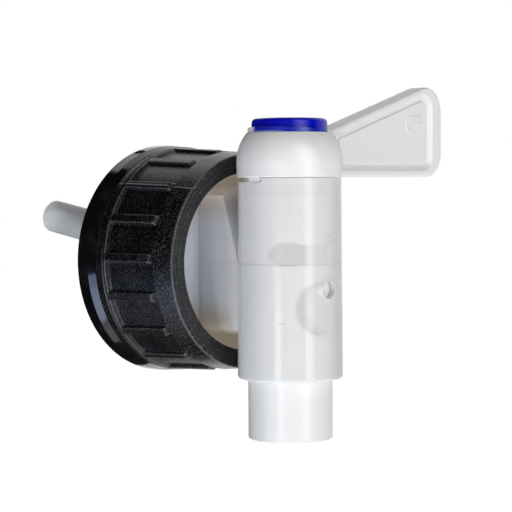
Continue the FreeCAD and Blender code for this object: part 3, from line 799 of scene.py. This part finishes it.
# Each pale place is wear and also a painted highlight: the front edge, the shoulder, the rib sides, the
# ring, the end and the lines on the front.
wear_and_highlight_places = ((0.6, bell(along, cap_front - 0.3, 0.45) * (radius > shoulder_radius - 1.6)),
               (0.85, bell(along, cap_shoulder + 0.35, 0.3) * plateau * outside),
               (0.32, (1 - smooth_step(along, cap_shoulder - 0.9, cap_shoulder - 0.1)) * outside),
               (1.0, bell(along, ring_start, 0.2) * outside),
               (1.0, bell(along, cap_end - 0.1, 0.22) * outside),
               (0.78, rib_side), (0.7, on_line))
worn = np.clip(sum(weight * place for weight, place in wear_and_highlight_places), 0, 1)
turned_all = np.broadcast_to(turned_mask.astype(float), cap_radius.shape)
along_all = np.broadcast_to(along, cap_radius.shape)
cap_points = np.stack([cap_radius * np.cos(angles), along_all, cap_radius * np.sin(angles)], -1) * MM
cap = grid_mesh("cap_moulding", cap_points, sharp=50, attributes={"worn": worn, "turned": turned_all})
dress(cap, black_plastic, "cap", "screw_cap")

# %% [markdown]
# ## The air tube
# The tube is a plain length of extruded pipe, cut square, with edges softened by the knife. It is
# turned about its own slanted axis: the profile is carried round that axis, which climbs 9.5 degrees
# from the cap axis.

# %% Air tube
tube_radius, tube_bore, tube_length = 5.15, 4.15, 74.5
tube_start = np.array([0.0, -2.0, -0.4])
tube_axis = np.array([0.0, math.cos(tube_slope), math.sin(tube_slope)])
tube_side = np.array([1.0, 0.0, 0.0])
tube_rise = np.cross(tube_side, tube_axis)
first = tube_radius * math.tan(tube_slope) + 0.15
last = first + tube_length
tube_corners = [(tube_radius, first, 0.2), (tube_radius, last, 0.22), (tube_bore, last, 0.18),
                (tube_bore, first, 0.15)]
tube_profile = rounded_profile(tube_corners, 3.0)
turn = np.linspace(0, 2 * math.pi, 96, endpoint=False)
ring = np.cos(turn)[:, None] * tube_side + np.sin(turn)[:, None] * tube_rise
tube_points = (tube_start + tube_profile[:, None, 1:] * tube_axis + tube_profile[:, None, :1] * ring) * MM
tube = grid_mesh("air_pipe", tube_points)
dress(tube, clear_plastic, "valve", "air_tube")

# %% [markdown]
# ## The parting line
# Where the two halves of the mould met, a fine raised line runs along both sides of the duct and
# round the barrel at the height of the cap axis. It is a small triangular section carried along
# that path, sunk a little into the wall.

# %% Parting line
duct_half, duct_end, side_points, bend_points = 9.5, -4.6, 12, 150
meet = math.sqrt(barrel_radius ** 2 - duct_half ** 2)
first_angle = math.atan2(meet, duct_half)
bend = np.linspace(first_angle, -math.pi - first_angle, bend_points)
round_barrel = np.stack([barrel_radius * np.cos(bend), barrel_y + barrel_radius * np.sin(bend)], -1)
side_run = np.linspace(duct_end, barrel_y + meet, side_points, endpoint=False)
path = np.vstack([np.stack([np.full(side_points, duct_half), side_run], -1), round_barrel,
                  np.stack([np.full(side_points, -duct_half), side_run[::-1]], -1)])
forward = np.gradient(path, axis=0)
forward /= np.linalg.norm(forward, axis=1)[:, None]
outward = np.stack([-forward[:, 1], forward[:, 0]], -1)
section = np.array([[-0.25, -0.12], [0.03, -0.05], [0.03, 0.05], [-0.25, 0.12]])
seam_points = np.empty((len(path), len(section), 3))
seam_points[..., :2] = path[:, None, :] + section[None, :, :1] * outward[:, None, :]
seam_points[..., 2] = section[None, :, 1]
seam = grid_mesh("parting_line", seam_points * MM, close_rows=False)
dress(seam, natural_plastic, "valve")

# %% [markdown]
# ## The gate mark
# The plastic came into the mould through a small gate in front. Cutting it off left a low ring with
# a stub in it. It is a dome with a ripple, laid on the curved wall.

# %% Gate mark
wall_draft = 0.005


def wall_disc(name, angle, height, reach, profile_height, rings=14, spokes=40):
    """A round relief on the barrel. At distance s from its middle it stands profile_height(s) proud.

    The points s cos and s sin are wrapped on the wall: across is divided by the radius to give an
    angle, and upward is added to the height. The wall's radius shrinks with height by its draft."""
    s = np.linspace(0.001, reach, rings)[:, None]
    spoke = np.linspace(0, 2 * math.pi, spokes, endpoint=False)[None, :]
    across, upward = s * np.cos(spoke), s * np.sin(spoke)
    theta = math.radians(angle) + across / barrel_radius
    stand = barrel_radius - wall_draft * (height + upward) + profile_height(s)
    points = np.stack([stand * np.cos(theta), barrel_y + stand * np.sin(theta), height + upward], -1)
    return grid_mesh(name, points * MM, close_rows=False)


def gate_height(s):
    """A ring 0.12 high at 0.85 from the middle, a stub 0.1 high in it, and a rim below the wall."""
    return 0.12 * bell(s, 0.85, 0.22) + 0.10 * bell(s, 0, 0.3) - 0.08 * smooth_step(s, 1.1, 1.5)


gate = wall_disc("gate_mark", 268.5, 6.7, 1.5, gate_height)
dress(gate, natural_plastic, "valve")

# %% [markdown]
# ## The film round the plug
# A thin skin of plastic was pushed up when the plug was pressed in. It stands highest on the left
# and sinks into the dome on the right. It is a ring with two walls a third of a millimetre apart,
# whose upper edge follows one slow wave and a ripple.

# %% Film round the plug
shelf, film_rise, film_wave, film_ripple, film_root = 36.485, 0.02, 0.40, 0.08, 0.3
turn = np.linspace(0, 2 * math.pi, 180, endpoint=False)
wave = film_wave * np.cos(turn - math.radians(165)) + film_ripple * np.sin(5 * turn + 0.6)
film_bottom = shelf - film_root
film_top = np.maximum(shelf + film_rise + wave, film_bottom + 0.1)
share = np.array([0.0, 0.35, 0.7, 0.93, 1.0, 1.0, 0.93, 0.7, 0.35, 0.0])[:, None]
wall = np.array([11.32, 11.32, 11.32, 11.30, 11.24, 11.10, 11.03, 11.02, 11.02, 11.02])[:, None]
height = film_bottom + (film_top[None, :] - film_bottom) * share
film_points = np.stack([wall * np.cos(turn), barrel_y + wall * np.sin(turn), height], -1) * MM
film = grid_mesh("plug_film", film_points)
dress(film, film_plastic, "key")

# %% [markdown]
# ## Raised words on the paddle
# The photographed face of the paddle says OFF, in narrow raised letters in its sunk panel. The
# other face can't be seen, and a lever that turns a quarter usually says ON there. A text object
# gives a letter's outline and a small bevel. It is made a mesh first, because a wide font has to be
# narrowed letter by letter, and then its points are laid on the panel.

# %% Raised words
letter_block = np.array([2.25, 5.05, 0.5])
letter_pitch, panel_face, letter_root = 2.55, 2.6, 0.06
word_middle = np.array([52.83, barrel_y, 40.07])
upward = np.array([0, 0, 1.0])


def letter_mesh(letter):
    """The points and faces of one letter, centred, with a small bevel."""
    curve = bpy.data.curves.new("letter", "FONT")
    curve.body, curve.offset, curve.extrude = letter, 0.008, 0.03
    curve.bevel_depth, curve.bevel_resolution = 0.03, 2
    flat = add_object("flat_letter", curve)
    bpy.context.view_layer.update()
    mesh = bpy.data.meshes.new_from_object(flat.evaluated_get(bpy.context.evaluated_depsgraph_get()))
    points = np.empty(len(mesh.vertices) * 3)
    mesh.vertices.foreach_get("co", points)
    faces = [list(face.vertices) for face in mesh.polygons]
    bpy.data.objects.remove(flat)
    bpy.data.meshes.remove(mesh)
    points = points.reshape(-1, 3)
    return points - (points.min(0) + points.max(0)) / 2, faces


def raised_word(name, word, across):
    """A word as a mesh on the paddle's panel, read along across.

    Each letter is scaled to the same narrow block, and the blocks stand a pitch apart."""
    all_points, all_faces, first = [], [], 0
    for place, letter in enumerate(word):
        points, faces = letter_mesh(letter)
        shift = [(place - (len(word) - 1) / 2) * letter_pitch, 0, panel_face + letter_root]
        all_points.append(points * letter_block / np.ptp(points, axis=0) + shift)
        all_faces += [[first + i for i in face] for face in faces]
        first += len(points)
    axes = np.stack([across, upward, np.cross(across, upward)])
    placed = np.vstack(all_points) @ axes + word_middle
    mesh = bpy.data.meshes.new(name)
    mesh.from_pydata((placed * MM).tolist(), [], all_faces)
    mesh.update()
    print(word, "spans in mm", np.ptp(placed, axis=0).round(2).tolist())
    return add_object(name, mesh)


for name, word, side in (("word_off", "OFF", 1.0), ("word_on", "ON", -1.0)):
    dress(raised_word(name, word, np.array([side, 0, 0])), white_plastic, "key")

# %% [markdown]
# ## Studio
# The tap was photographed as goods are: a white sweep behind it, a dark room round the camera, and
# a tall soft lamp on either side. The surroundings are white to the camera and in reflections, but
# they light the object less, so that a colour renders about as it is written. That light comes
# mostly from the horizon. Overhead it is weak and a little warm, as the tap's upward faces show,
# and it falls off towards the camera's right, where the barrel is grey.

# %% Surroundings
level, less_overhead = 0.465, 0.36
grey_side = (0.82, -0.57, 0.0)
world = bpy.data.worlds.new("studio")
bpy.context.scene.world = world
world.use_nodes = True
tree = world.node_tree
tree.nodes.clear()
rays = add(tree, "ShaderNodeLightPath").outputs
seen = maths(tree, "MAXIMUM", rays["Is Camera Ray"],
             maths(tree, "MAXIMUM", rays["Is Glossy Ray"], rays["Is Transmission Ray"]))
direction = add(tree, "ShaderNodeTexCoord").outputs["Generated"]
overhead = maths(tree, "MAXIMUM", split(tree, direction)["Z"], 0.0)
towards = add(tree, "ShaderNodeVectorMath", {0: direction, 1: grey_side}, operation="DOT_PRODUCT")
shaded = maths(tree, "MAXIMUM", towards.outputs["Value"], 0.0)
strength = maths(tree, "MULTIPLY_ADD", overhead, -less_overhead, level)
strength = maths(tree, "MULTIPLY_ADD", shaded, -level, strength)
tint = blend(tree, overhead, (0.975, 0.985, 1.0), (1.0, 0.92, 0.84))
lighting = add(tree, "ShaderNodeBackground", {"Color": tint, "Strength": strength}).outputs["Background"]
backdrop = add(tree, "ShaderNodeBackground", {"Color": (1, 1, 1, 1), "Strength": 1.0}).outputs["Background"]
choose = add(tree, "ShaderNodeMixShader", {"Fac": seen, 1: lighting, 2: backdrop}).outputs["Shader"]
add(tree, "ShaderNodeOutputWorld", {"Surface": choose})
bpy.context.scene.view_settings.view_transform = "Standard"
print("surroundings:", level, "at the horizon,", round(level - less_overhead, 3), "overhead")

# %% [markdown]
# The floor lies well below the tap, because the tap hangs in the air here as it would on a
# container. It is white to the camera and keeps a soft shadow. The part of it in front of the tap
# sends up the light that brightens the barrel's middle and the faces that look down. Reflections
# leave that bright part out, so that the glossy plastics don't show it as a spot.

# %% Floor
floor_height, floor_reach, floor_white, mirrored_white = -600.0, 9000.0, 0.95, 0.8
patch_place, patch_inner, patch_outer, patch_strength = (-0.75, -1.06), 0.3, 1.5, 1.85
floor_mesh = bpy.data.meshes.new("floor")
corners = np.array([[-1, -1], [1, -1], [1, 1], [-1, 1]]) * floor_reach
corners = np.hstack([corners, np.full((4, 1), floor_height)]) * MM
floor_mesh.from_pydata(corners.tolist(), [], [[0, 1, 2, 3]])
floor = add_object("floor", floor_mesh)
floor_paint, tree, shader = paint("floor_paint", Base_Color=(0.8, 0.8, 0.8, 1), Roughness=0.9,
                                  Specular_IOR_Level=0.0, Emission_Color=(1, 1, 1, 1))
rays = add(tree, "ShaderNodeLightPath").outputs
mirrored = maths(tree, "MAXIMUM", rays["Is Glossy Ray"], rays["Is Transmission Ray"])
seen = maths(tree, "MAXIMUM", rays["Is Camera Ray"], maths(tree, "MULTIPLY", mirrored, mirrored_white))
apart = add(tree, "ShaderNodeVectorMath", {0: object_place(tree), 1: (*patch_place, floor_height * MM)},
            operation="DISTANCE").outputs["Value"]
glow = ranged(tree, apart, patch_inner, patch_outer, patch_strength, 0.0)
patch = maths(tree, "MULTIPLY", glow, maths(tree, "SUBTRACT", 1.0, mirrored))
emitted = maths(tree, "MAXIMUM", patch, maths(tree, "MULTIPLY", seen, floor_white))
feed(tree, emitted, shader["Emission Strength"])
floor_mesh.materials.append(floor_paint)
print("floor at", floor_height, "mm, bright patch round", patch_place, "m")

# %% [markdown]
# The two tall stripes on the barrel tell where the lamps were: a cylinder shows a lamp at half its
# angle from the camera. The stripes are narrow, so each lamp fills only 15 to 20 degrees. A card is
# a lamp that only reflections see. One sharpens the left stripe, one gives the dome its highlight,
# and one draws the cool light along the cap's lower left. The low lamp and the back lamp are the
# other way about: they light the plastics and don't show in them. The back lamp is for the sides
# that the photograph doesn't show.

# %% Lamps
white, cool, cooler = (1, 1, 1), (0.60, 0.75, 1.0), (0.50, 0.62, 1.0)


def soft_lamp(name, bearing, rise, distance_m, width, height, power, colour, lights, mirrored):
    """A rectangular lamp that faces the tap, in metres and watts.

    Bearing is its angle from +X towards +Y, seen from above. Lights says whether it lights the
    plastics, and mirrored whether it shows in them."""
    data = bpy.data.lights.new(name, "AREA")
    data.shape = "RECTANGLE"
    data.size, data.size_y = width, height
    data.energy, data.color = power, colour
    lamp = add_object(name, data)
    b, e = math.radians(bearing), math.radians(rise)
    away = Vector((math.cos(b) * math.cos(e), math.sin(b) * math.cos(e), math.sin(e)))
    lamp.location = Vector((0, -0.02, 0.0)) + away * distance_m
    lamp.rotation_euler = away.to_track_quat("Z", "Y").to_euler()
    lamp.visible_camera, lamp.visible_diffuse, lamp.visible_glossy = False, lights, mirrored
    print(name, "radiance about", round(power / (math.pi * width * height), 2))


soft_lamp("left_lamp", 196.0, -26, 0.9, 0.24, 0.75, 1.42, white, True, True)
soft_lamp("left_card", 197.5, -24, 0.9, 0.22, 0.75, 1.1, white, False, True)
soft_lamp("right_lamp", 265.0, 10, 0.9, 0.32, 0.9, 3.4, white, True, True)
soft_lamp("dome_card", 249.0, 25, 0.9, 0.34, 0.64, 2.1, white, False, True)
soft_lamp("low_lamp", 163.0, -27, 0.7, 0.30, 0.40, 0.72, cool, True, False)
soft_lamp("low_card", 162.0, -34, 0.7, 0.30, 0.56, 2.1, cooler, False, True)
soft_lamp("back_lamp", 42.5, 2, 1.0, 0.7, 0.8, 8.5, white, True, False)

# %% [markdown]
# The black cap and the blue plug are dark in the photograph because they reflect the dark room. A
# dark curtain hangs round the camera's side and closes overhead. It leaves the white backdrop
# behind the tap open, and the white table in front of it. It is seen in reflections alone, so that
# the other views keep their pale surroundings.

# %% Dark curtain
hem_bearings = [54, 112, 125, 138, 152, 262, 300]
hem_rises = [-78, -64, -50, -34, -24, -20, -78]
curtain_reach, curtain_drop = 1.35, 0.57
bearing = np.radians(np.linspace(54, 312, 80))[None, :]
lowest = np.interp(np.degrees(bearing), hem_bearings, hem_rises)
highest = 32 + 54 * smooth_step(bearing, math.radians(75), math.radians(105))
rise = np.radians(lowest + (highest - lowest) * np.linspace(0, 1, 40)[:, None])
reach = np.minimum(curtain_reach, curtain_drop / np.maximum(np.sin(-rise), 0.01))
curtain_points = np.stack([reach * np.cos(rise) * np.cos(bearing), reach * np.cos(rise) * np.sin(bearing),
                           reach * np.sin(rise)], -1)
curtain = grid_mesh("curtain", curtain_points, close_rows=False, close_columns=False)
curtain_cloth = paint("curtain_cloth", Base_Color=(0.02, 0.02, 0.022, 1), Roughness=0.95,
                      Specular_IOR_Level=0.0)[0]
curtain.data.materials.append(curtain_cloth)
for kind in ("camera", "diffuse", "transmission", "shadow"):
    setattr(curtain, "visible_" + kind, False)
